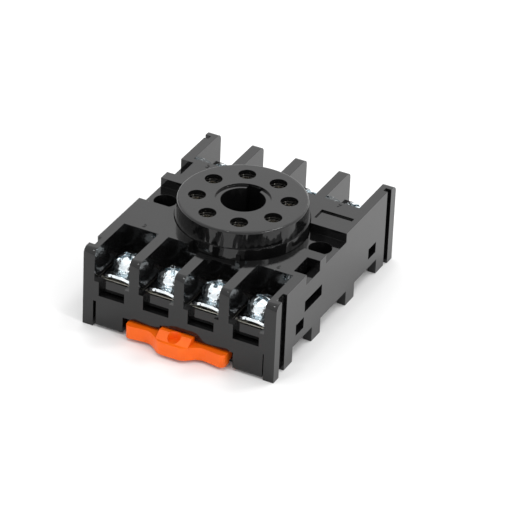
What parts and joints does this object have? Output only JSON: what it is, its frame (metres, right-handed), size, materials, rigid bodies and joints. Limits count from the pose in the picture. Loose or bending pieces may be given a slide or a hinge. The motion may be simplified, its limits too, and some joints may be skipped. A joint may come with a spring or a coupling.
{
  "type": "plug-in relay socket",
  "caption": "Round plug-in relay socket with screw terminals in two rows, a raised pin disc with a key hole, and a sliding clip for a 35 mm rail.",
  "frame": {"origin": "middle of the body on the plane its feet and screw columns stand on", "axes": "+X along the terminal rows, -Y towards the end with the rail clip, +Z the way the relay leaves"},
  "size_m": [0.0402, 0.0533, 0.0205],
  "materials": {
    "black_plastic": "moulded phenolic, semi-gloss black",
    "orange_plastic": "moulded nylon, satin orange",
    "zinc_steel": "bright zinc plated",
    "plated_brass": "nickel plated brass",
    "contact_metal": "tinned phosphor bronze"
  },
  "bodies": {
    "socket": {"housing": "black_plastic", "contact_block": "black_plastic", "base_plate": "black_plastic", "terminal_1": "plated_brass", "terminal_2": "plated_brass", "terminal_3": "plated_brass", "terminal_4": "plated_brass", "terminal_5": "plated_brass", "terminal_6": "plated_brass", "terminal_7": "plated_brass", "terminal_8": "plated_brass", "contact_1": "contact_metal", "contact_2": "contact_metal", "contact_3": "contact_metal", "contact_4": "contact_metal", "contact_5": "contact_metal", "contact_6": "contact_metal", "contact_7": "contact_metal", "contact_8": "contact_metal"},
    "clip": {"din_clip": "orange_plastic", "clip_spring_left": "orange_plastic", "clip_spring_right": "orange_plastic"},
    "clamp_unit_1": {"clamp_1": "zinc_steel"},
    "screw_unit_1": {"screw_1": "zinc_steel"},
    "clamp_unit_2": {"clamp_2": "zinc_steel"},
    "screw_unit_2": {"screw_2": "zinc_steel"},
    "clamp_unit_3": {"clamp_3": "zinc_steel"},
    "screw_unit_3": {"screw_3": "zinc_steel"},
    "clamp_unit_4": {"clamp_4": "zinc_steel"},
    "screw_unit_4": {"screw_4": "zinc_steel"},
    "clamp_unit_5": {"clamp_5": "zinc_steel"},
    "screw_unit_5": {"screw_5": "zinc_steel"},
    "clamp_unit_6": {"clamp_6": "zinc_steel"},
    "screw_unit_6": {"screw_6": "zinc_steel"},
    "clamp_unit_7": {"clamp_7": "zinc_steel"},
    "screw_unit_7": {"screw_7": "zinc_steel"},
    "clamp_unit_8": {"clamp_8": "zinc_steel"},
    "screw_unit_8": {"screw_8": "zinc_steel"}
  },
  "joints": [
    {"name": "clip_slide", "type": "slide", "parent": "socket", "child": "clip", "axis": [0, -1, 0], "range_m": [0, 0.0022], "stiffness_N_per_m": 300, "springref_m": -0.002, "deforming": ["clip_spring_left", "clip_spring_right"]},
    {"name": "clamp_lift_1", "type": "slide", "parent": "socket", "child": "clamp_unit_1", "axis": [0, 0, 1], "range_m": [0, 0.003]},
    {"name": "screw_turn_1", "type": "hinge", "parent": "clamp_unit_1", "child": "screw_unit_1", "pos_m": [-0.0047, 0.01865, 0.0107], "axis": [0, 0, 1], "range_deg": [0, 1800]},
    {"name": "clamp_lift_2", "type": "slide", "parent": "socket", "child": "clamp_unit_2", "axis": [0, 0, 1], "range_m": [0, 0.003]},
    {"name": "screw_turn_2", "type": "hinge", "parent": "clamp_unit_2", "child": "screw_unit_2", "pos_m": [-0.0141, 0.01865, 0.0107], "axis": [0, 0, 1], "range_deg": [0, 1800]},
    {"name": "clamp_lift_3", "type": "slide", "parent": "socket", "child": "clamp_unit_3", "axis": [0, 0, 1], "range_m": [0, 0.003]},
    {"name": "screw_turn_3", "type": "hinge", "parent": "clamp_unit_3", "child": "screw_unit_3", "pos_m": [-0.0141, -0.01865, 0.0107], "axis": [0, 0, 1], "range_deg": [0, 1800]},
    {"name": "clamp_lift_4", "type": "slide", "parent": "socket", "child": "clamp_unit_4", "axis": [0, 0, 1], "range_m": [0, 0.003]},
    {"name": "screw_turn_4", "type": "hinge", "parent": "clamp_unit_4", "child": "screw_unit_4", "pos_m": [-0.0047, -0.01865, 0.0107], "axis": [0, 0, 1], "range_deg": [0, 1800]},
    {"name": "clamp_lift_5", "type": "slide", "parent": "socket", "child": "clamp_unit_5", "axis": [0, 0, 1], "range_m": [0, 0.003]},
    {"name": "screw_turn_5", "type": "hinge", "parent": "clamp_unit_5", "child": "screw_unit_5", "pos_m": [0.0047, -0.01865, 0.0107], "axis": [0, 0, 1], "range_deg": [0, 1800]},
    {"name": "clamp_lift_6", "type": "slide", "parent": "socket", "child": "clamp_unit_6", "axis": [0, 0, 1], "range_m": [0, 0.003]},
    {"name": "screw_turn_6", "type": "hinge", "parent": "clamp_unit_6", "child": "screw_unit_6", "pos_m": [0.0141, -0.01865, 0.0107], "axis": [0, 0, 1], "range_deg": [0, 1800]},
    {"name": "clamp_lift_7", "type": "slide", "parent": "socket", "child": "clamp_unit_7", "axis": [0, 0, 1], "range_m": [0, 0.003]},
    {"name": "screw_turn_7", "type": "hinge", "parent": "clamp_unit_7", "child": "screw_unit_7", "pos_m": [0.0141, 0.01865, 0.0107], "axis": [0, 0, 1], "range_deg": [0, 1800]},
    {"name": "clamp_lift_8", "type": "slide", "parent": "socket", "child": "clamp_unit_8", "axis": [0, 0, 1], "range_m": [0, 0.003]},
    {"name": "screw_turn_8", "type": "hinge", "parent": "clamp_unit_8", "child": "screw_unit_8", "pos_m": [0.0047, 0.01865, 0.0107], "axis": [0, 0, 1], "range_deg": [0, 1800]}
  ],
  "couplings": [
    {"joint": "screw_turn_1", "follows": "clamp_lift_1", "rad_per_m": 10472},
    {"joint": "screw_turn_2", "follows": "clamp_lift_2", "rad_per_m": 10472},
    {"joint": "screw_turn_3", "follows": "clamp_lift_3", "rad_per_m": 10472},
    {"joint": "screw_turn_4", "follows": "clamp_lift_4", "rad_per_m": 10472},
    {"joint": "screw_turn_5", "follows": "clamp_lift_5", "rad_per_m": 10472},
    {"joint": "screw_turn_6", "follows": "clamp_lift_6", "rad_per_m": 10472},
    {"joint": "screw_turn_7", "follows": "clamp_lift_7", "rad_per_m": 10472},
    {"joint": "screw_turn_8", "follows": "clamp_lift_8", "rad_per_m": 10472}
  ]
}
